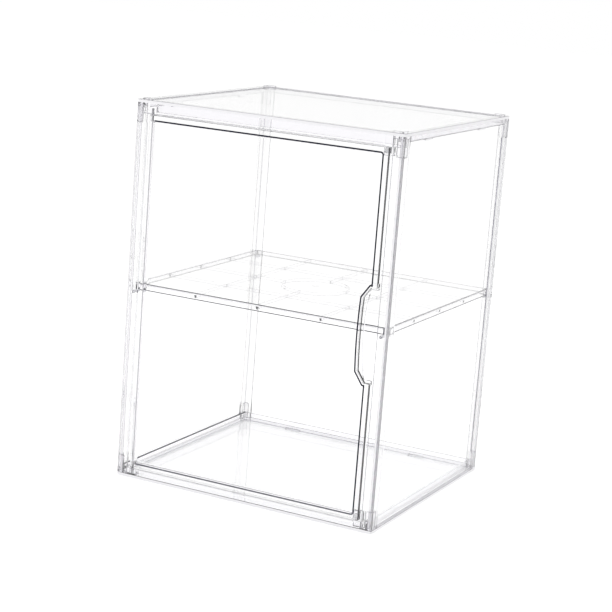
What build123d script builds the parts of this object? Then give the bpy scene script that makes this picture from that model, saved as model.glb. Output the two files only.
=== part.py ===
import os

from build123d import *

# Whole case, all sizes in millimetres
case_width = 247.0
case_depth = 229.0
case_height = 330.0
corner_radius = 1.2
wall = 2.2
smallest_radius = 0.3

# Clear sheets and the channels that hold them
sheet_thickness = 2.0
sheet_side_gap = 0.15
sheet_end_gap = 0.2

# Base tray
floor_thickness = 2.2
base_lip_height = 5.0
sill_height = 8.6
base_rim_height = 10.4
channel_rim_wall = 2.0
front_ledge_depth = 8.0
front_ledge_thickness = 2.0
base_pad_height = 4.2

# Lid tray
top_thickness = 2.5
lid_lip_height = 7.0
lid_bar_height = 11.6
lid_pad_height = 4.5
top_border_width = 8.0
top_recess = 0.6

# Corner posts and the sleeves that hold their ends
post_width = 10.0
post_depth = 11.0
post_gap = 0.3
post_end_gap = 0.05
sleeve_width = 6.4
sleeve_wall = 1.1
sleeve_gap = 0.15
base_sleeve_height = 18.5
lid_sleeve_height = 19.0
sleeve_corner_radius = 2.0

# Snap windows through the foot of the base's back rim, and snap tabs on the lid's side rims
window_width = 15.0
window_height = 1.4
window_sink = 1.2
window_reach = 2.0
window_spacing = 129.0
tab_width = 15.0
tab_height = 2.0
tab_spacing = 117.0

# Stacking lugs on the lid and their pockets under the base
lug_length = 9.0
lug_width = 2.0
lug_height = 1.2
lug_inset = 3.2
lug_gap = 0.3
pocket_depth = 1.4

# Door
door_proud = 1.0
door_thickness = 6.0
door_panel = 2.0
door_rim = 5.0
door_corner_radius = 1.5
door_cove_radius = 1.2
hinge_side_gap = 2.1
latch_side_gap = 3.0
door_end_gap = 0.6

# Finger notch in the free edge of the door
notch_centre = 164.6
notch_length = 79.0
notch_depth = 11.6
notch_slope_run = 6.4
notch_slope_rise = 9.2
notch_bow = 0.9
notch_wall = 2.4
grip_edge_depth = 10.4
grip_edge_bow = 3.4
grip_edge_inset = 2.0

# Hinge pins
pin_diameter = 2.5
pin_grip = 5.0
pin_hold_gap = 0.02
pin_running_gap = 0.05
pin_hole_spare = 0.3
pin_boss_width = 8.0

# Magnets of the door catch
magnet_diameter = 4.0
magnet_thickness = 2.0
magnet_inset = 2.7
magnet_gap = 0.03
catch_width = 8.4
catch_height = 7.6
catch_gap = 0.3

# Shelf
shelf_top = 172.5
shelf_plate = 2.0
skirt_height = 6.0
skirt_wall = 1.5
shelf_side_gap = 0.45
shelf_door_gap = 1.2
shelf_corner_radius = 1.5
rib_wall = 1.2
rib_depth = 2.6
rib_bays = 4
ring_radius = 30.0
gate_diameter = 6.0
gate_height = 0.6

# Shelf pegs
peg_diameter = 2.4
peg_hold_gap = 0.03
peg_recess = 0.3
peg_bearing = 5.0
peg_rest_gap = 0.05
peg_side_gap = 0.9
peg_nose_radius = 0.6
peg_sheet_gap = 0.3

# Places that follow from the sizes. The plan of the case is centred on its own plane,
# which lies half the door's overhang behind the origin.
case_plane = Plane((0, door_proud / 2, 0))
side = case_width / 2
front = -case_depth / 2
back = case_depth / 2

sheet_outer_x = side - wall - sheet_side_gap
sheet_inner_x = sheet_outer_x - sheet_thickness
rim_outer_x = sheet_inner_x - sheet_side_gap
rim_inner_x = rim_outer_x - channel_rim_wall
sheet_outer_y = back - wall - sheet_side_gap
sheet_inner_y = sheet_outer_y - sheet_thickness
rim_outer_y = sheet_inner_y - sheet_side_gap
rim_inner_y = rim_outer_y - channel_rim_wall
behind_front_wall = front + wall + post_gap
ledge_back = front + front_ledge_depth

post_inner_x = side - post_width
between_posts_x = post_inner_x - post_gap
between_posts_y = back - post_depth - post_gap
post_bottom = base_pad_height + post_end_gap
post_top = case_height - lid_pad_height - post_end_gap
top_underside = case_height - top_thickness
lid_lip_bottom = case_height - lid_lip_height
lid_bar_bottom = case_height - lid_bar_height

door_left = -(post_inner_x - hinge_side_gap)
door_right = post_inner_x - latch_side_gap
door_width = door_right - door_left
door_centre_x = (door_left + door_right) / 2
door_bottom = sill_height + door_end_gap
door_top = lid_bar_bottom - door_end_gap
door_face = front - door_proud
door_rear = door_face + door_thickness
hinge_x = door_left + door_thickness / 2
hinge_y = door_face + door_thickness / 2

magnet_x = door_right - magnet_inset
catch_front = door_rear + catch_gap
catch_right = between_posts_x - post_gap

shelf_side = sheet_inner_x - shelf_side_gap
shelf_front = door_rear + shelf_door_gap
shelf_back = sheet_inner_y - shelf_side_gap
shelf_width = 2 * shelf_side
shelf_depth = shelf_back - shelf_front
shelf_mid_y = (shelf_front + shelf_back) / 2
shelf_bottom = shelf_top - skirt_height
peg_x = sheet_inner_x - peg_side_gap - peg_diameter / 2
peg_z = shelf_bottom - peg_rest_gap - peg_diameter / 2

corners = {
    "front_left": (-1, -1),
    "front_right": (1, -1),
    "rear_left": (-1, 1),
    "rear_right": (1, 1),
}


def level(height):
    """Horizontal plane of the case at one height above the table."""
    return case_plane.offset(height)


def upright(depth):
    """Vertical plane across the case at one depth, seen from the front."""
    return Plane((0, door_proud / 2 + depth, 0), x_dir=(1, 0, 0), z_dir=(0, -1, 0))


def block(x_ends, y_ends, z_ends, mode=Mode.ADD):
    """Rectangular block between two ends on each axis, in the piece being built."""
    with BuildSketch(level(min(z_ends)), mode=Mode.PRIVATE) as footprint:
        with Locations((sum(x_ends) / 2, sum(y_ends) / 2)):
            Rectangle(abs(x_ends[1] - x_ends[0]), abs(y_ends[1] - y_ends[0]))
    extrude(footprint.sketch, amount=abs(z_ends[1] - z_ends[0]), mode=mode)


def plate(z_ends):
    """Plate with the outline of the case."""
    with BuildSketch(level(min(z_ends)), mode=Mode.PRIVATE) as outline:
        RectangleRounded(case_width, case_depth, corner_radius)
    extrude(outline.sketch, amount=abs(z_ends[1] - z_ends[0]))


def corner_angle(corner, thickness, x_reach, y_reach, z_ends, inner_radius, mode=Mode.ADD):
    """Length of angle section that follows one outer corner of the case."""
    x_way, y_way = corner
    with BuildSketch(level(min(z_ends)), mode=Mode.PRIVATE) as section:
        RectangleRounded(case_width, case_depth, corner_radius)
        RectangleRounded(
            case_width - 2 * thickness, case_depth - 2 * thickness, inner_radius, mode=Mode.SUBTRACT
        )
        with Locations((x_way * (side - x_reach / 2), y_way * (back - y_reach / 2))):
            Rectangle(x_reach, y_reach, mode=Mode.INTERSECT)
    extrude(section.sketch, amount=abs(z_ends[1] - z_ends[0]), mode=mode)


def post_angle(corner, z_ends):
    """Length of the corner posts' own section, square inside to take the sheets."""
    corner_angle(corner, wall, post_width, post_depth, z_ends, smallest_radius)


def sleeve(corner, z_ends):
    """Thin sleeve that wraps the end of one post."""
    inner_radius = max(corner_radius - sleeve_wall, smallest_radius)
    corner_angle(corner, sleeve_wall, sleeve_width, sleeve_width, z_ends, inner_radius)


def stacking_lug(corner, extra, z_ends, mode=Mode.ADD):
    """L-shaped lug near one corner, or its pocket when extra is the clearance all round."""
    x_way, y_way = corner
    outer_x = side - lug_inset
    outer_y = back - lug_inset
    x_arm = (x_way * (outer_x - lug_length - extra), x_way * (outer_x + extra))
    y_arm = (y_way * (outer_y - lug_length - extra), y_way * (outer_y + extra))
    x_web = (x_way * (outer_x - lug_width - extra), x_way * (outer_x + extra))
    y_web = (y_way * (outer_y - lug_width - extra), y_way * (outer_y + extra))
    block(x_arm, y_web, z_ends, mode)
    block(x_web, y_arm, z_ends, mode)


def channel_rims(z_ends):
    """Inner rims of the sheet channels along both sides and the back."""
    for way in (-1, 1):
        block((way * rim_inner_x, way * rim_outer_x), (behind_front_wall, rim_outer_y), z_ends)
    block((-rim_outer_x, rim_outer_x), (rim_inner_y, rim_outer_y), z_ends)


def outer_lips(z_ends):
    """Outer lips of the tray along both sides and the back, between the posts."""
    for way in (-1, 1):
        block((way * (side - wall), way * side), (-between_posts_y, between_posts_y), z_ends)
    block((-between_posts_x, between_posts_x), (back - wall, back), z_ends)


def front_bar(z_ends, ledge_z_ends):
    """Front wall of the tray between the posts, and the ledge behind it."""
    block((-between_posts_x, between_posts_x), (front, front + wall), z_ends)
    block((-between_posts_x, between_posts_x), (front, ledge_back), ledge_z_ends)
    block((-rim_outer_x, rim_outer_x), (behind_front_wall, ledge_back), ledge_z_ends)


def round_sleeve_ends(piece, end_z):
    """Round the free corners of the four sleeves."""
    short_edges = piece.edges().filter_by_position(Axis.Z, end_z, end_z).filter_by(
        lambda edge: abs(edge.length - sleeve_wall) < sleeve_gap / 10
    )
    fillet(short_edges, sleeve_corner_radius)


def upright_hole(x, y, radius, z_ends):
    """Round hole along the height of the case."""
    with BuildSketch(level(min(z_ends)), mode=Mode.PRIVATE) as section:
        with Locations((x, y)):
            Circle(radius)
    extrude(section.sketch, amount=abs(z_ends[1] - z_ends[0]), mode=Mode.SUBTRACT)


def round_bar(x, z, radius, y_ends, mode=Mode.ADD):
    """Round bar, or hole, along the depth of the case."""
    with BuildSketch(upright(max(y_ends)), mode=Mode.PRIVATE) as section:
        with Locations((x, z)):
            Circle(radius)
    extrude(section.sketch, amount=abs(y_ends[1] - y_ends[0]), mode=mode)


# Base tray: floor, lips, channel rims, door sill, hinge boss and lower catch
catch_base_top = sill_height + catch_height
base_magnet_z = door_bottom + magnet_inset
pin_base_bottom = sill_height - pin_grip

with BuildPart() as base:
    plate((0, floor_thickness))
    outer_lips((0, base_lip_height))
    channel_rims((0, base_rim_height))
    front_bar((0, sill_height), (sill_height - front_ledge_thickness, sill_height))
    for corner in corners.values():
        post_angle(corner, (0, base_pad_height))
        sleeve(corner, (0, base_sleeve_height))
        stacking_lug(corner, lug_gap, (0, pocket_depth), Mode.SUBTRACT)
    round_sleeve_ends(base, base_sleeve_height)
    for way in (-1, 1):
        window_middle = way * window_spacing / 2
        block(
            (window_middle - window_width / 2, window_middle + window_width / 2),
            (rim_inner_y - window_reach, rim_outer_y),
            (floor_thickness - window_sink, floor_thickness + window_height),
            Mode.SUBTRACT,
        )
    block((-between_posts_x, -between_posts_x + pin_boss_width), (front, ledge_back), (0, sill_height))
    upright_hole(hinge_x, hinge_y, pin_diameter / 2 + pin_hold_gap, (pin_base_bottom, sill_height))
    block((catch_right - catch_width, catch_right), (catch_front, ledge_back), (0, catch_base_top))
    round_bar(
        magnet_x,
        base_magnet_z,
        magnet_diameter / 2 + magnet_gap,
        (catch_front, catch_front + magnet_thickness + magnet_gap),
        Mode.SUBTRACT,
    )

# Lid tray: top plate with a raised border, lips, channel rims, door head, hinge boss,
# upper catch and stacking lugs
catch_lid_bottom = lid_bar_bottom - catch_height
lid_magnet_z = door_top - magnet_inset
pin_lid_top = lid_bar_bottom + pin_grip

with BuildPart() as lid:
    plate((top_underside, case_height))
    block(
        (-side + top_border_width, side - top_border_width),
        (front + top_border_width, back - top_border_width),
        (case_height - top_recess, case_height),
        Mode.SUBTRACT,
    )
    outer_lips((lid_lip_bottom, case_height - top_recess))
    channel_rims((lid_lip_bottom, top_underside))
    front_bar((lid_bar_bottom, top_underside), (lid_bar_bottom, lid_bar_bottom + front_ledge_thickness))
    for corner in corners.values():
        post_angle(corner, (case_height - lid_pad_height, top_underside))
        sleeve(corner, (case_height - lid_sleeve_height, top_underside))
        stacking_lug(corner, 0, (case_height, case_height + lug_height))
    round_sleeve_ends(lid, case_height - lid_sleeve_height)
    for x_way in (-1, 1):
        for y_way in (-1, 1):
            tab_middle = y_way * tab_spacing / 2
            block(
                (x_way * rim_inner_x, x_way * rim_outer_x),
                (tab_middle - tab_width / 2, tab_middle + tab_width / 2),
                (lid_lip_bottom - tab_height, lid_lip_bottom),
            )
    block(
        (-rim_outer_x, rim_outer_x),
        (ledge_back - channel_rim_wall, ledge_back),
        (lid_bar_bottom, top_underside),
    )
    block(
        (-between_posts_x, -between_posts_x + pin_boss_width),
        (front, ledge_back),
        (lid_bar_bottom, top_underside),
    )
    upright_hole(hinge_x, hinge_y, pin_diameter / 2 + pin_hold_gap, (lid_bar_bottom, pin_lid_top))
    block(
        (catch_right - catch_width, catch_right),
        (catch_front, ledge_back),
        (catch_lid_bottom, top_underside),
    )
    round_bar(
        magnet_x,
        lid_magnet_z,
        magnet_diameter / 2 + magnet_gap,
        (catch_front, catch_front + magnet_thickness + magnet_gap),
        Mode.SUBTRACT,
    )

# Corner posts: angle sections, relieved at both ends for the sleeves, each with a peg hole
relief = sleeve_wall + sleeve_gap
relief_width = sleeve_width + sleeve_gap
posts = {}
for place, corner in corners.items():
    x_way, y_way = corner
    with BuildPart() as post:
        post_angle(corner, (post_bottom, post_top))
        for relief_z_ends in (
            (post_bottom, base_sleeve_height + sleeve_gap),
            (case_height - lid_sleeve_height - sleeve_gap, post_top),
        ):
            corner_angle(
                corner,
                relief,
                relief_width,
                relief_width,
                relief_z_ends,
                max(corner_radius - relief, smallest_radius),
                Mode.SUBTRACT,
            )
        round_bar(
            x_way * peg_x,
            peg_z,
            peg_diameter / 2 + peg_hold_gap,
            (y_way * (back - wall), y_way * back),
            Mode.SUBTRACT,
        )
    posts[place] = post

# Side sheets, held between the lips and the channel rims
sheet_z_ends = (floor_thickness + sheet_end_gap, top_underside - sheet_end_gap)
side_sheets = {}
for place, way in (("left", -1), ("right", 1)):
    with BuildPart() as side_sheet:
        block(
            (way * sheet_inner_x, way * sheet_outer_x),
            (front + wall + sheet_end_gap, sheet_inner_y - sheet_side_gap),
            sheet_z_ends,
        )
    side_sheets[place] = side_sheet

# Back sheet, with holes for the rear shelf pegs
with BuildPart() as back_sheet:
    block(
        (-sheet_outer_x, sheet_outer_x),
        (sheet_inner_y, sheet_outer_y),
        sheet_z_ends,
    )
    for way in (-1, 1):
        round_bar(
            way * peg_x,
            peg_z,
            peg_diameter / 2 + peg_sheet_gap,
            (sheet_inner_y, sheet_outer_y),
            Mode.SUBTRACT,
        )

# Door: thin panel at the rear of a deep rim, with a finger notch in the free edge
notch_top = notch_centre + notch_length / 2
notch_low = notch_centre - notch_length / 2
notch_floor = door_right - notch_depth
notch_knee = notch_floor + notch_slope_run
grip_floor = door_right - grip_edge_depth
past_edge = door_right + notch_wall
door_clear_depth = door_thickness - door_panel

with BuildSketch(upright(door_rear)) as notch_shape:
    with BuildLine():
        Polyline(
            (notch_floor, notch_top - notch_slope_rise),
            (notch_knee, notch_top),
            (past_edge, notch_top),
            (past_edge, notch_low),
            (notch_knee, notch_low),
            (notch_floor, notch_low + notch_slope_rise),
        )
        ThreePointArc(
            (notch_floor, notch_low + notch_slope_rise),
            (notch_floor - notch_bow, notch_centre),
            (notch_floor, notch_top - notch_slope_rise),
        )
    make_face()

with BuildSketch(upright(door_rear)) as grip_shape:
    with BuildLine():
        Polyline(
            (grip_floor + grip_edge_bow, notch_top - grip_edge_inset),
            (past_edge, notch_top - grip_edge_inset),
            (past_edge, notch_low + grip_edge_inset),
            (grip_floor + grip_edge_bow, notch_low + grip_edge_inset),
        )
        ThreePointArc(
            (grip_floor + grip_edge_bow, notch_low + grip_edge_inset),
            (grip_floor, notch_centre),
            (grip_floor + grip_edge_bow, notch_top - grip_edge_inset),
        )
    make_face()

with BuildPart() as door:
    block((door_left, door_right), (door_face, door_rear), (door_bottom, door_top))
    with BuildSketch(upright(door_face)) as hollow:
        with Locations((door_centre_x, (door_bottom + door_top) / 2)):
            Rectangle(door_width - 2 * door_rim, door_top - door_bottom - 2 * door_rim)
        fillet(hollow.vertices(), door_corner_radius)
        with BuildSketch(upright(door_face), mode=Mode.PRIVATE) as notch_surround:
            add(notch_shape.sketch.moved(Location((0, -door_thickness, 0))))
            offset(amount=notch_wall, kind=Kind.INTERSECTION)
        add(notch_surround.sketch, mode=Mode.SUBTRACT)
    extrude(amount=-door_clear_depth, mode=Mode.SUBTRACT)
    panel_front = case_plane.origin.Y + door_face + door_clear_depth
    panel_face = door.faces().filter_by(Axis.Y).filter_by_position(
        Axis.Y, panel_front - smallest_radius, panel_front + smallest_radius
    )
    fillet(panel_face.edges(), door_cove_radius)
    extrude(grip_shape.sketch, amount=door_panel, mode=Mode.SUBTRACT)
    extrude(
        notch_shape.sketch.moved(Location((0, -door_panel, 0))),
        amount=door_clear_depth,
        mode=Mode.SUBTRACT,
    )
    hinge_edges = door.edges().filter_by(Axis.Z).group_by(Axis.X)[0]
    fillet(hinge_edges, door_thickness / 2 - smallest_radius / 10)
    upright_hole(
        hinge_x,
        hinge_y,
        pin_diameter / 2 + pin_running_gap,
        (door_bottom, door_bottom + pin_grip + pin_hole_spare),
    )
    upright_hole(
        hinge_x,
        hinge_y,
        pin_diameter / 2 + pin_running_gap,
        (door_top - pin_grip - pin_hole_spare, door_top),
    )
    for magnet_z in (base_magnet_z, lid_magnet_z):
        round_bar(
            magnet_x,
            magnet_z,
            magnet_diameter / 2 + magnet_gap,
            (door_rear - magnet_thickness - magnet_gap, door_rear),
            Mode.SUBTRACT,
        )

# Hinge pins, held in the bosses of the trays and running in the door
pins = {}
for place, pin_z_ends in (
    ("lower", (pin_base_bottom, door_bottom + pin_grip)),
    ("upper", (door_top - pin_grip, pin_lid_top)),
):
    with BuildPart() as pin:
        with BuildSketch(level(min(pin_z_ends))):
            with Locations((hinge_x, hinge_y)):
                Circle(pin_diameter / 2)
        extrude(amount=max(pin_z_ends) - min(pin_z_ends))
    pins[place] = pin

# Magnets, one in each catch and one facing it in each free corner of the door
magnets = {}
for place, magnet_z in (("lower", base_magnet_z), ("upper", lid_magnet_z)):
    with BuildPart() as door_magnet:
        round_bar(magnet_x, magnet_z, magnet_diameter / 2, (door_rear - magnet_thickness, door_rear))
    with BuildPart() as case_magnet:
        round_bar(
            magnet_x, magnet_z, magnet_diameter / 2, (catch_front, catch_front + magnet_thickness)
        )
    magnets["door_magnet_" + place] = door_magnet
    magnets["case_magnet_" + place] = case_magnet

# Shelf: plate, skirt, crossing ribs and a ring in the middle, all moulded in one
plate_underside = shelf_top - shelf_plate
rib_bottom = plate_underside - rib_depth

with BuildPart() as shelf:
    with BuildSketch(level(shelf_bottom)) as shelf_outline:
        with Locations((0, shelf_mid_y)):
            RectangleRounded(shelf_width, shelf_depth, shelf_corner_radius)
    extrude(amount=skirt_height)
    block(
        (-shelf_side + skirt_wall, shelf_side - skirt_wall),
        (shelf_front + skirt_wall, shelf_back - skirt_wall),
        (shelf_bottom, plate_underside),
        Mode.SUBTRACT,
    )
    with BuildSketch(level(rib_bottom)) as ribs:
        for bay in range(1, rib_bays):
            with Locations((-shelf_side + bay * shelf_width / rib_bays, shelf_mid_y)):
                Rectangle(rib_wall, shelf_depth - skirt_wall)
            with Locations((0, shelf_front + bay * shelf_depth / rib_bays)):
                Rectangle(shelf_width - skirt_wall, rib_wall)
        with Locations((0, shelf_mid_y)):
            Circle(ring_radius + rib_wall / 2)
            Circle(ring_radius - rib_wall / 2, mode=Mode.SUBTRACT)
    extrude(amount=rib_depth)
    with BuildSketch(level(plate_underside - gate_height)) as gate:
        with Locations((0, shelf_mid_y)):
            Circle(gate_diameter / 2)
    extrude(amount=gate_height)

# Shelf pegs, through the posts and, at the back, through the sheet
pegs = {}
for place, corner in corners.items():
    x_way, y_way = corner
    outer_end = y_way * (back - peg_recess)
    inner_end = shelf_front + peg_bearing if y_way < 0 else shelf_back - peg_bearing
    with BuildPart() as peg:
        round_bar(x_way * peg_x, peg_z, peg_diameter / 2, sorted((outer_end, inner_end)))
        nose = peg.faces().sort_by(Axis.Y)[-1 if y_way < 0 else 0]
        fillet(nose.edges(), peg_nose_radius)
    pegs[place] = peg

# Names and files
os.makedirs("parts", exist_ok=True)
pieces = {"base": base, "lid": lid, "panel_back": back_sheet, "door": door, "shelf": shelf}
pieces.update({"post_" + place: post for place, post in posts.items()})
pieces.update({"panel_" + place: side_sheet for place, side_sheet in side_sheets.items()})
pieces.update({"hinge_pin_" + place: pin for place, pin in pins.items()})
pieces.update(magnets)
pieces.update({"shelf_peg_" + place: peg for place, peg in pegs.items()})
for name, piece in pieces.items():
    piece.part.label = name
    export_step(piece.part, f"parts/{name}.step")
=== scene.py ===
import math

import bpy
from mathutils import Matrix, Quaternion, Vector


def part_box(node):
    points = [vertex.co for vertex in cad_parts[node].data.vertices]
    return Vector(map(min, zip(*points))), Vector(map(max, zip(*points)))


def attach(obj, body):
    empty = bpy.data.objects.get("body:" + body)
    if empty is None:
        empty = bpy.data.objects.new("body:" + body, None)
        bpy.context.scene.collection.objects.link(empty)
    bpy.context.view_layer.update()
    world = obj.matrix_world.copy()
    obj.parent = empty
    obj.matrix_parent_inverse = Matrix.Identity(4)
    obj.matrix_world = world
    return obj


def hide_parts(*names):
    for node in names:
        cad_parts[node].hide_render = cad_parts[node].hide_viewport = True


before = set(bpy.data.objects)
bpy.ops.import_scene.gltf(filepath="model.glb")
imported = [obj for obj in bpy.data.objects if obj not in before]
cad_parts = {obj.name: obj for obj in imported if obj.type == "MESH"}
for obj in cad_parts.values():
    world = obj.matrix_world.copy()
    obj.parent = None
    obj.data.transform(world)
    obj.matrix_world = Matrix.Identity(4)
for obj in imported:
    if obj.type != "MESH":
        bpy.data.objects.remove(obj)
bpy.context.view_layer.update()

bpy.ops.object.select_all(action="DESELECT")


# Base tray: the moulded floor of the case, with lips that hold the sheets and sleeves
# that hold the posts. Clear styrene, injection moulded and polished, so its broad faces
# are almost invisible; its edges are painted as grey and dark lines, painted shade for
# the light that they trap.

def link(tree, source, target):
    """Joins one socket of a node tree to another."""
    tree.links.new(source, target)


def noise(tree, place, scale, detail):
    """A fine pattern that stays fixed to the piece."""
    pattern = tree.nodes.new("ShaderNodeTexNoise")
    pattern.inputs["Scale"].default_value = scale
    pattern.inputs["Detail"].default_value = detail
    link(tree, place.outputs["Object"], pattern.inputs["Vector"])
    return pattern.outputs["Fac"]


def moulding_marks_and_edge_shade():
    """Node group for a moulded face. Where the face looks along the edge axis it takes the
    edge colour, a painted shade for the darker look of clear edges, and all over it has a
    faint cloudiness and fine handling marks."""
    broad_most = 0.25
    narrow_least = 0.75
    cloud_scale = 22.0
    cloud_detail = 3.0
    cloud_darkest = 0.985
    mark_scale = 420.0
    mark_detail = 4.0
    group = bpy.data.node_groups.new("moulding_marks_and_edge_shade", "ShaderNodeTree")
    sockets = (
        ("Broad Colour", "INPUT", "NodeSocketColor"),
        ("Edge Shade Colour", "INPUT", "NodeSocketColor"),
        ("Edge Axis", "INPUT", "NodeSocketVector"),
        ("Haze", "INPUT", "NodeSocketFloat"),
        ("Colour", "OUTPUT", "NodeSocketColor"),
        ("Roughness", "OUTPUT", "NodeSocketFloat"),
        ("Height", "OUTPUT", "NodeSocketFloat"),
    )
    for name, side, kind in sockets:
        group.interface.new_socket(name, in_out=side, socket_type=kind)
    nodes = group.nodes
    given = nodes.new("NodeGroupInput")
    result = nodes.new("NodeGroupOutput")
    place = nodes.new("ShaderNodeTexCoord")
    cloud = noise(group, place, cloud_scale, cloud_detail)
    marks = noise(group, place, mark_scale, mark_detail)

    along = nodes.new("ShaderNodeVectorMath")
    along.operation = "MULTIPLY"
    link(group, place.outputs["Normal"], along.inputs[0])
    link(group, given.outputs["Edge Axis"], along.inputs[1])
    length = nodes.new("ShaderNodeVectorMath")
    length.operation = "LENGTH"
    link(group, along.outputs["Vector"], length.inputs[0])
    narrow = nodes.new("ShaderNodeMapRange")
    narrow.inputs["From Min"].default_value = broad_most
    narrow.inputs["From Max"].default_value = narrow_least
    link(group, length.outputs["Value"], narrow.inputs["Value"])
    shade = nodes.new("ShaderNodeMix")
    shade.data_type = "RGBA"
    link(group, narrow.outputs["Result"], shade.inputs["Factor"])
    link(group, given.outputs["Broad Colour"], shade.inputs["A"])
    link(group, given.outputs["Edge Shade Colour"], shade.inputs["B"])

    cloudy = nodes.new("ShaderNodeMapRange")
    cloudy.inputs["To Min"].default_value = cloud_darkest
    cloudy.inputs["To Max"].default_value = 1.0
    link(group, cloud, cloudy.inputs["Value"])
    tone = nodes.new("ShaderNodeMix")
    tone.data_type = "RGBA"
    tone.blend_type = "MULTIPLY"
    tone.inputs["Factor"].default_value = 1.0
    link(group, shade.outputs["Result"], tone.inputs["A"])
    link(group, cloudy.outputs["Result"], tone.inputs["B"])
    link(group, tone.outputs["Result"], result.inputs["Colour"])

    rough = nodes.new("ShaderNodeMath")
    rough.operation = "MULTIPLY"
    link(group, marks, rough.inputs[0])
    link(group, given.outputs["Haze"], rough.inputs[1])
    link(group, rough.outputs["Value"], result.inputs["Roughness"])
    link(group, cloud, result.inputs["Height"])
    return group


marks_and_edge_shade_group = moulding_marks_and_edge_shade()


def plastic(name, broad, edge, edge_axis, haze, clearness, gloss, absorb, density):
    """Clear plastic that bends light and lets the lamp through. Haze is its most roughness,
    clearness the share of light that passes, and absorb and density tint it with depth."""
    light_bend = 1.5
    ripple_strength = 0.02
    ripple_height = 0.0001
    lamp_tint = (0.96, 0.96, 0.97)
    material = bpy.data.materials.new(name)
    material.use_nodes = True
    tree = material.node_tree
    tree.nodes.clear()
    look = tree.nodes.new("ShaderNodeGroup")
    look.node_tree = marks_and_edge_shade_group
    look.inputs["Broad Colour"].default_value = (*broad, 1.0)
    # The edge colour is painted shade on faces that look along the edge axis.
    look.inputs["Edge Shade Colour"].default_value = (*edge, 1.0)
    look.inputs["Edge Axis"].default_value = edge_axis
    look.inputs["Haze"].default_value = haze
    surface = tree.nodes.new("ShaderNodeBsdfPrincipled")
    surface.inputs["Transmission Weight"].default_value = clearness
    surface.inputs["Specular IOR Level"].default_value = gloss
    surface.inputs["IOR"].default_value = light_bend
    link(tree, look.outputs["Colour"], surface.inputs["Base Color"])
    link(tree, look.outputs["Roughness"], surface.inputs["Roughness"])
    ripple = tree.nodes.new("ShaderNodeBump")
    ripple.inputs["Strength"].default_value = ripple_strength
    ripple.inputs["Distance"].default_value = ripple_height
    link(tree, look.outputs["Height"], ripple.inputs["Height"])
    link(tree, ripple.outputs["Normal"], surface.inputs["Normal"])
    lamp_light = tree.nodes.new("ShaderNodeBsdfTransparent")
    lamp_light.inputs["Color"].default_value = (*lamp_tint, 1.0)
    path = tree.nodes.new("ShaderNodeLightPath")
    shown = tree.nodes.new("ShaderNodeMixShader")
    link(tree, path.outputs["Is Shadow Ray"], shown.inputs["Fac"])
    link(tree, surface.outputs["BSDF"], shown.inputs[1])
    link(tree, lamp_light.outputs["BSDF"], shown.inputs[2])
    result = tree.nodes.new("ShaderNodeOutputMaterial")
    link(tree, shown.outputs["Shader"], result.inputs["Surface"])
    if density > 0:
        depth = tree.nodes.new("ShaderNodeVolumeAbsorption")
        depth.inputs["Color"].default_value = (*absorb, 1.0)
        depth.inputs["Density"].default_value = density
        link(tree, depth.outputs["Volume"], result.inputs["Volume"])
    return material


def clear(name, edge_axis):
    """The clear face of a moulding, with a little painted lilac shade where it is narrow."""
    return plastic(
        name,
        broad=(1.0, 1.0, 1.0),
        edge=(0.97, 0.965, 0.98),
        edge_axis=edge_axis,
        haze=0.01,
        clearness=1.0,
        gloss=0.5,
        absorb=(0.9, 0.9, 0.95),
        density=0.8,
    )


def painted_edge_line(name, colour, clearness=0.35, gloss=0.5):
    """Plastic painted along a moulded edge or corner, a painted shade for the dark line that
    trapped light leaves.
    """
    return plastic(
        name,
        broad=colour,
        edge=colour,
        edge_axis=(1, 1, 1),
        haze=0.3,
        clearness=clearness,
        gloss=gloss,
        absorb=colour,
        density=0.0,
    )


def painted_glow(name):
    """Narrow outer face of a thin plate, painted pale with a glow in place of the light that
    the plate gathers.
    """
    glow = (0.97, 0.97, 1.0)
    glow_strength = 0.25
    material = painted_edge_line(name, colour=(0.95, 0.94, 0.96), clearness=0.0)
    surface = material.node_tree.nodes["Principled BSDF"]
    surface.inputs["Emission Color"].default_value = (*glow, 1.0)
    surface.inputs["Emission Strength"].default_value = glow_strength
    return material


def choose_edges(piece, chooser):
    """Selects the edges that the chooser picks by their middle, their direction round the
    first of their two faces, and those faces."""
    mesh = piece.data
    for part in (mesh.vertices, mesh.edges, mesh.polygons):
        part.foreach_set("select", [False] * len(part))
    beside = {}
    for face in mesh.polygons:
        for key in face.edge_keys:
            beside.setdefault(key, []).append(face)
    for edge in mesh.edges:
        start, end = (mesh.vertices[index].co for index in edge.vertices)
        faces = beside.get(edge.key, [])
        if len(faces) != 2 or start == end:
            continue
        run = (end - start).normalized()
        corners = list(faces[0].vertices)
        next_corner = (corners.index(edge.vertices[0]) + 1) % len(corners)
        if corners[next_corner] != edge.vertices[1]:
            run.negate()
        if chooser((start + end) / 2, run, faces):
            edge.select = True
            for index in edge.vertices:
                mesh.vertices[index].select = True


def bevel_chosen(piece, chooser, width, profile, material_index):
    """Bevels the chosen edges, with one step on each side of the corner."""
    choose_edges(piece, chooser)
    bpy.ops.object.mode_set(mode="EDIT")
    bpy.ops.mesh.bevel(
        offset=width,
        segments=2,
        profile=profile,
        affect="EDGES",
        clamp_overlap=False,
        material=material_index,
    )
    bpy.ops.object.mode_set(mode="OBJECT")


# The places of the five materials in every moulding's list: the clear one, three of
# painted shade for lines, and the painted glow of plates' edges.
CLEAR, FINE, STRIP, MEDIUM, PAINTED_GLOW = range(5)
# A strip of painted shade leaves the corner as it is and only marks it off; every other
# edge is rounded, and its rounding is painted as a line of shade.
strip_profile = 1.0
round_profile = 0.5
edge_radius = 0.0002
merge_gap = 0.000002
flat_turn = math.radians(0.3)
smooth_turn = math.radians(20)
sharp_turn = math.radians(50)
square_to_axis = 0.9999


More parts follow.
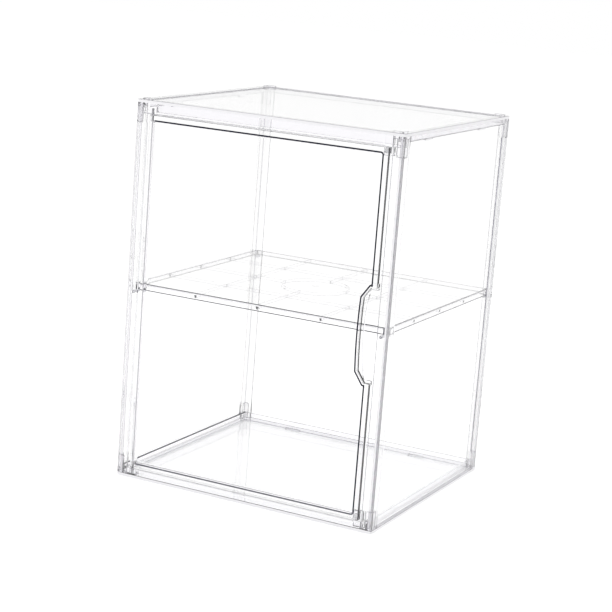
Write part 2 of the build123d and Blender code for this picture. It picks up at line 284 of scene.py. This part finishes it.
def sharp_corner(middle, run, faces):
    """An outer edge of the moulding that is not marked off by a strip. Inner corners stay
    sharp, because some lie closer together than two roundings."""
    first, second = (face.normal for face in faces)
    marked = any(face.material_index == STRIP for face in faces)
    outer = first.cross(second).dot(run) > 0
    return outer and not marked and first.angle(second, 0.0) > sharp_turn


def moulded(node, body, materials, strip_width=0.0, strip_on=None):
    """A moulding with softly rounded edges, in place of the CAD node of the same form.
    Its materials are the clear one, those of its fine, strip and medium lines of painted
    shade, and the painted glow of its plates' edges."""
    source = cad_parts[node]
    piece = source.copy()
    piece.data = source.data.copy()
    piece.name = node + "_moulding"
    piece.parent = None
    bpy.context.collection.objects.link(piece)
    piece.data.materials.clear()
    for material in materials:
        piece.data.materials.append(material)
    bpy.context.view_layer.objects.active = piece
    piece.select_set(True)
    bpy.ops.mesh.customdata_custom_splitnormals_clear()
    bpy.context.tool_settings.mesh_select_mode = (False, True, False)
    bpy.ops.object.mode_set(mode="EDIT")
    bpy.ops.mesh.select_all(action="SELECT")
    bpy.ops.mesh.remove_doubles(threshold=merge_gap)
    bpy.ops.mesh.dissolve_limited(angle_limit=flat_turn)
    bpy.ops.object.mode_set(mode="OBJECT")
    if strip_on:
        bevel_chosen(piece, strip_on, strip_width, strip_profile, STRIP)
    # Every other outer corner is rounded, and its rounding painted as a line of shade.
    bevel_chosen(piece, sharp_corner, edge_radius, round_profile, FINE)
    bpy.ops.object.shade_smooth_by_angle(angle=smooth_turn)
    for face in piece.data.polygons:
        if max(abs(part) for part in face.normal) > square_to_axis:
            face.use_smooth = False
    piece.select_set(False)
    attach(piece, body)
    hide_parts(node)
    return piece


def cut_faces(piece, place, across):
    """Divides the faces of a piece where a flat cut crosses them."""
    bpy.context.view_layer.objects.active = piece
    piece.select_set(True)
    bpy.ops.object.mode_set(mode="EDIT")
    bpy.ops.mesh.select_all(action="SELECT")
    bpy.ops.mesh.bisect(plane_co=place, plane_no=across)
    bpy.ops.object.mode_set(mode="OBJECT")
    piece.select_set(False)


def at_side(place, box, zone):
    """Whether a place lies within a zone of the box's left, right, front or rear side."""
    lowest, highest = box
    left_or_right = abs(place.x) > highest.x - zone
    return left_or_right or place.y < lowest.y + zone or place.y > highest.y - zone


corner_zone = 0.0005
upright_least = 0.3


def mark_plate_edge(piece, node, cut_z, z_ends, material_index):
    """Cuts the piece's upright faces at one level and marks the outer ones between two
    heights, where a plate lies behind them."""
    cut_faces(piece, (0, 0, cut_z), (0, 0, 1))
    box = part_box(node)
    for face in piece.data.polygons:
        upright = abs(face.normal.z) < upright_least
        outer = upright and at_side(face.center, box, corner_zone)
        beside_plate = z_ends[0] < face.center.z < z_ends[1]
        if face.material_index == CLEAR and outer and beside_plate:
            face.material_index = material_index


# Painted shade for the grey and dark lines that trapped light leaves along the edges.
fine_shade_line = painted_edge_line("fine_edge_painted_shade", (0.60, 0.59, 0.63))
medium_shade_line = painted_edge_line("medium_edge_painted_shade", (0.10, 0.10, 0.13), clearness=0.1)
bold_shade_line = painted_edge_line("bold_edge_painted_shade", (0.02, 0.02, 0.04), clearness=0.0, gloss=0.0)
# A painted glow for the plates' narrow edges, though they are no lamp.
plate_edge_glow = painted_glow("plate_edge_glow")
painted_lines = (fine_shade_line, bold_shade_line, medium_shade_line, plate_edge_glow)
tray_clear = clear("tray_clear", (1, 1, 0))
base_low, base_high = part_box("base")
floor_thickness = 0.0022
lip_height = 0.005
rim_height = 0.0104
rim_wall = 0.002
rim_inset = 0.0045
rim_outer = base_high.x - rim_inset
rim_inner = rim_outer - rim_wall
floor_top = base_low.z + floor_thickness
cut_gap = 0.00005
edge_zone = 0.0004


def on_right_lip(place, edge_z):
    """Whether a place is on the free edge of a tray's right lip."""
    return place.x > base_high.x - edge_zone and abs(place.z - edge_z) < edge_zone


base = moulded("base", "case", (tray_clear, *painted_lines))
# The outer faces beside the floor plate take the painted glow.
mark_plate_edge(base, "base", floor_top + cut_gap, (base_low.z, floor_top), PAINTED_GLOW)
cut_faces(base, (-rim_inner + cut_gap, 0, 0), (1, 0, 0))
# Painted shade: the left rim's top and the right lip's free edge nearly black, and the rounded
# edges of the foot dark grey.
for face in base.data.polygons:
    x, y, z = face.center
    along_left_rim = rim_inner - corner_zone < -x < rim_outer + corner_zone
    left_rim_top = along_left_rim and abs(z - rim_height) < edge_zone
    foot = z < edge_zone and abs(face.normal.z) < square_to_axis
    if left_rim_top or (face.material_index == FINE and on_right_lip(face.center, lip_height)):
        face.material_index = STRIP
    elif face.material_index == FINE and foot:
        face.material_index = MEDIUM


# Lid: the same kind of tray turned over, with a raised border and four stacking lugs.
# Moulded in the same clear styrene and held by the sleeves on the posts' tops.
top_thickness = 0.0025
lid_lip_height = 0.007
lug_height = 0.0012
lid_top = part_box("lid")[1].z - lug_height
lid_underside = lid_top - top_thickness
lid = moulded("lid", "case", (tray_clear, *painted_lines))
# The outer faces beside the top plate take the painted glow.
mark_plate_edge(lid, "lid", lid_underside - cut_gap, (lid_underside, lid_top), PAINTED_GLOW)
# Painted shade: the right lip's free edge nearly black, and the rounded edges at the level of
# its top dark grey.
for face in lid.data.polygons:
    border = abs(face.center.z - lid_top) < edge_zone
    if face.material_index == FINE and on_right_lip(face.center, lid_top - lid_lip_height):
        face.material_index = STRIP
    elif face.material_index == FINE and border:
        face.material_index = MEDIUM


# Corner posts: angle sections moulded in clear styrene, held by the trays' sleeves.
# Their outer corners are rounded and trap light along the whole height; their rounded
# faces are painted grey as painted shade for it.
corner_names = ("front_left", "front_right", "rear_left", "rear_right")
rounded_least = 0.2
post_clear = clear("post_clear", (0, 0, 1))
for corner in corner_names:
    post = moulded("post_" + corner, "case", (post_clear, *painted_lines))
    for face in post.data.polygons:
        x, y, z = face.normal
        if min(abs(x), abs(y)) > rounded_least and abs(z) < upright_least:
            face.material_index = FINE


# Side and back sheets: clear acrylic cut to size and slid into the channels of the trays.
# Their sawn and polished edges are painted with a faint glow, in place of the light that
# their faces gather.
for side, edge_axis in (("left", (0, 1, 1)), ("right", (0, 1, 1)), ("back", (1, 0, 1))):
    sheet_clear = clear("sheet_" + side, edge_axis)
    sheet = moulded("panel_" + side, "case", (sheet_clear, *painted_lines))
    for face in sheet.data.polygons:
        across = Vector(face.normal) * Vector(edge_axis)
        if face.material_index == CLEAR and across.length > square_to_axis:
            face.material_index = PAINTED_GLOW


# Door: one clear moulding, a thin panel inside a deep rim, turning on two steel pins.
# The inner edge of the rim traps light and is painted nearly black as painted shade, but
# lighter grey beside the hinge and a little lighter along the sill.
door_clear = clear("door_clear", (1, 0, 1))
door_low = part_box("door")[0]
rim_strip = 0.0013
rim_zone = 0.0065
hollow_wall_least = 0.0025
hollow_wall_most = 0.0032
tiny = 0.0001
facing_front_least = 0.7


def depth_of(face):
    """How far a face of the door reaches from front to back."""
    depths = [face.id_data.vertices[index].co.y for index in face.vertices]
    return max(depths) - min(depths)


def hollow_outline(middle, run, faces):
    """Front edges of the hollow, whose walls are less deep than those of the notch."""
    if abs(middle.y - door_low.y) > tiny:
        return False
    return any(hollow_wall_least < depth_of(face) < hollow_wall_most for face in faces)


door_looks = (door_clear, *painted_lines)
door = moulded("door", "door", door_looks, rim_strip, hollow_outline)
# Painted shade: the strips and roundings take a darker or lighter grey by where they lie.
for face in door.data.polygons:
    x, y, z = face.center
    beside_hinge = x < door_low.x + rim_zone
    along_sill = z < door_low.z + rim_zone
    on_hollow_wall = abs(face.normal.y) < facing_front_least
    if face.material_index == STRIP and on_hollow_wall:
        face.material_index = CLEAR
    elif beside_hinge and face.material_index == STRIP:
        face.material_index = FINE
    elif beside_hinge and face.material_index == FINE:
        face.material_index = MEDIUM
    elif along_sill and face.material_index == STRIP:
        face.material_index = MEDIUM


# Shelf: one clear moulding that lies on four pegs, stiffened by ribs underneath.
# The ribs' edges are painted faint grey; the skirt's edges and the ribs' ends on it are
# painted as dark lines; all are painted shade.
shelf_clear = clear("shelf_clear", (1, 1, 0))
skirt_shade_line = painted_edge_line("skirt_edge_painted_shade", (0.12, 0.12, 0.15))
rib_shade_line = painted_edge_line("rib_edge_painted_shade", (0.60, 0.59, 0.62))
shelf_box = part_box("shelf")
shelf_low, shelf_high = shelf_box
plate_thickness = 0.002
plate_line_width = 0.0008
plate_top = shelf_high.z
plate_line = plate_top - plate_line_width
plate_underside = plate_top - plate_thickness
skirt_strip = 0.0007
skirt_reach = 0.001
skirt_wall = 0.0015
upright_run = 0.9


def skirt_foot(middle, run, faces):
    """Lower outer edges of the skirt, and the ends of the ribs on its inner wall."""
    lower_edge = at_side(middle, shelf_box, skirt_reach) and abs(middle.z - shelf_low.z) < tiny
    on_inner_wall = (
        abs(abs(middle.x) - shelf_high.x + skirt_wall) < tiny
        or abs(middle.y - shelf_low.y - skirt_wall) < tiny
    )
    return lower_edge or (on_inner_wall and abs(run.z) > upright_run)


shelf_looks = (shelf_clear, skirt_shade_line, bold_shade_line, rib_shade_line, plate_edge_glow)
shelf = moulded("shelf", "case", shelf_looks, skirt_strip, skirt_foot)
# A painted dark line along the plate's top edge, and the painted glow below it.
mark_plate_edge(shelf, "shelf", plate_line, (plate_line, plate_top), FINE)
mark_plate_edge(shelf, "shelf", plate_underside - cut_gap, (plate_underside, plate_line), PAINTED_GLOW)
for face in shelf.data.polygons:
    if face.material_index == FINE and not at_side(face.center, shelf_box, skirt_reach):
        face.material_index = MEDIUM


# Shelf pegs: small clear pins pushed through the posts, moulded in the same styrene and
# duller than the rest. The shelf's skirt rests on them.

def dress(node, material):
    """Gives a CAD node one material on all its faces."""
    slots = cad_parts[node].data.materials
    slots.clear()
    slots.append(material)


# The pegs' edge colour is painted shade on their faces that look along the edge axis.
peg_clear = plastic(
    "peg_clear",
    broad=(0.9, 0.9, 0.93),
    edge=(0.85, 0.85, 0.9),
    edge_axis=(1, 0, 1),
    haze=0.05,
    clearness=0.8,
    gloss=0.5,
    absorb=(1, 1, 1),
    density=0.0,
)
for corner in corner_names:
    dress("shelf_peg_" + corner, peg_clear)


# Hinge pins and magnets: ground steel and nickel plating, pressed into the mouldings.
# The magnets sit face to face in the door's free corners and the catches behind them.

def metal(name, colour, roughness):
    """Bright metal with fine turning marks."""
    grain_scale = 900.0
    grain_detail = 2.0
    grain_shade = 0.8
    grain_spread = 0.3
    material = bpy.data.materials.new(name)
    material.use_nodes = True
    tree = material.node_tree
    surface = tree.nodes["Principled BSDF"]
    surface.inputs["Metallic"].default_value = 1.0
    place = tree.nodes.new("ShaderNodeTexCoord")
    grain = noise(tree, place, grain_scale, grain_detail)
    tint = tree.nodes.new("ShaderNodeValToRGB")
    tint.color_ramp.elements[0].color = (*[grain_shade * part for part in colour], 1.0)
    tint.color_ramp.elements[1].color = (*colour, 1.0)
    link(tree, grain, tint.inputs["Fac"])
    link(tree, tint.outputs["Color"], surface.inputs["Base Color"])
    rough = tree.nodes.new("ShaderNodeMapRange")
    rough.inputs["To Min"].default_value = roughness * (1 - grain_spread)
    rough.inputs["To Max"].default_value = roughness * (1 + grain_spread)
    link(tree, grain, rough.inputs["Value"])
    link(tree, rough.outputs["Result"], surface.inputs["Roughness"])
    return material


nickel = metal("nickel_plating", colour=(0.62, 0.62, 0.64), roughness=0.2)
steel = metal("pin_steel", colour=(0.6, 0.6, 0.62), roughness=0.3)
for end in ("upper", "lower"):
    dress("door_magnet_" + end, nickel)
    dress("case_magnet_" + end, nickel)
    dress("hinge_pin_" + end, steel)


# Floor: a plain table top in matt white paint, which goes on out of sight and keeps the
# case's shadow. It is lifted a little where it is seen, so that it shows as white.

def seen(tree):
    """One for a ray that shows a surface straight, mirrored or through the plastic."""
    path = tree.nodes.new("ShaderNodeLightPath")
    shown = path.outputs["Is Camera Ray"]
    for ray in ("Is Glossy Ray", "Is Transmission Ray"):
        either = tree.nodes.new("ShaderNodeMath")
        either.operation = "MAXIMUM"
        link(tree, shown, either.inputs[0])
        link(tree, path.outputs[ray], either.inputs[1])
        shown = either.outputs["Value"]
    return shown


floor_half = 6.0
floor_drop = 0.0002
paint_white = (0.8, 0.8, 0.8)
floor_lift = 0.55
bpy.ops.mesh.primitive_plane_add(size=2 * floor_half, location=(0, 0, -floor_drop))
floor = bpy.context.object
floor.name = "floor"
floor_white = bpy.data.materials.new("floor_white")
floor_white.use_nodes = True
tree = floor_white.node_tree
tree.nodes.clear()
paint = tree.nodes.new("ShaderNodeBsdfDiffuse")
paint.inputs["Color"].default_value = (*paint_white, 1.0)
scaled = tree.nodes.new("ShaderNodeMath")
scaled.operation = "MULTIPLY"
scaled.inputs[1].default_value = floor_lift
link(tree, seen(tree), scaled.inputs[0])
lift = tree.nodes.new("ShaderNodeEmission")
lift.inputs["Color"].default_value = (1, 1, 1, 1)
link(tree, scaled.outputs["Value"], lift.inputs["Strength"])
both = tree.nodes.new("ShaderNodeAddShader")
link(tree, paint.outputs["BSDF"], both.inputs[0])
link(tree, lift.outputs["Emission"], both.inputs[1])
result = tree.nodes.new("ShaderNodeOutputMaterial")
link(tree, both.outputs["Shader"], result.inputs["Surface"])
floor.data.materials.append(floor_white)


# Light: a white room that lights the case evenly from all round, seen brighter than it
# lights, and one wide soft lamp above and to the left, which gives the faint shadow.
room_light = 0.6
room_seen = 1.0
world = bpy.data.worlds.new("white_room")
bpy.context.scene.world = world
world.use_nodes = True
tree = world.node_tree
tree.nodes.clear()
strength = tree.nodes.new("ShaderNodeMapRange")
strength.inputs["To Min"].default_value = room_light
strength.inputs["To Max"].default_value = room_seen
link(tree, seen(tree), strength.inputs["Value"])
sky = tree.nodes.new("ShaderNodeBackground")
sky.inputs["Color"].default_value = (1, 1, 1, 1)
link(tree, strength.outputs["Result"], sky.inputs["Strength"])
result = tree.nodes.new("ShaderNodeOutputWorld")
link(tree, sky.outputs["Background"], result.inputs["Surface"])

lamp_data = bpy.data.lights.new("soft_lamp", "AREA")
lamp_data.energy = 12.0
lamp_data.size = 1.6
lamp = bpy.data.objects.new("soft_lamp", lamp_data)
bpy.context.collection.objects.link(lamp)
lamp_aim = Vector((0, 0, 0.15))
lamp.location = (-0.9, -0.7, 1.8)
lamp.rotation_mode = "QUATERNION"
lamp.rotation_quaternion = (lamp_aim - lamp.location).to_track_quat("-Z", "Y")
lamp.visible_camera = False
lamp.visible_glossy = False


# Camera: to the right of the door and a little above the case, rolled as the photo is.
# Its place and its lens come from a fit to nine straight edges of the case in the photo.
view_azimuth = math.radians(26.105)
view_elevation = math.radians(12.130)
view_roll = math.radians(4.425)
camera_data = bpy.data.cameras.new("camera")
camera_data.lens = 107.23
camera_data.sensor_width = 36.0
camera = bpy.data.objects.new("camera", camera_data)
bpy.context.collection.objects.link(camera)
camera.location = (0.6888, -1.4210, 0.4926)
ahead = Vector(
    (
        -math.sin(view_azimuth) * math.cos(view_elevation),
        math.cos(view_azimuth) * math.cos(view_elevation),
        -math.sin(view_elevation),
    )
)
camera.rotation_mode = "QUATERNION"
camera.rotation_quaternion = ahead.to_track_quat("-Z", "Y") @ Quaternion((0, 0, 1), view_roll)
bpy.context.scene.camera = camera
bpy.context.scene.view_settings.view_transform = "Standard"
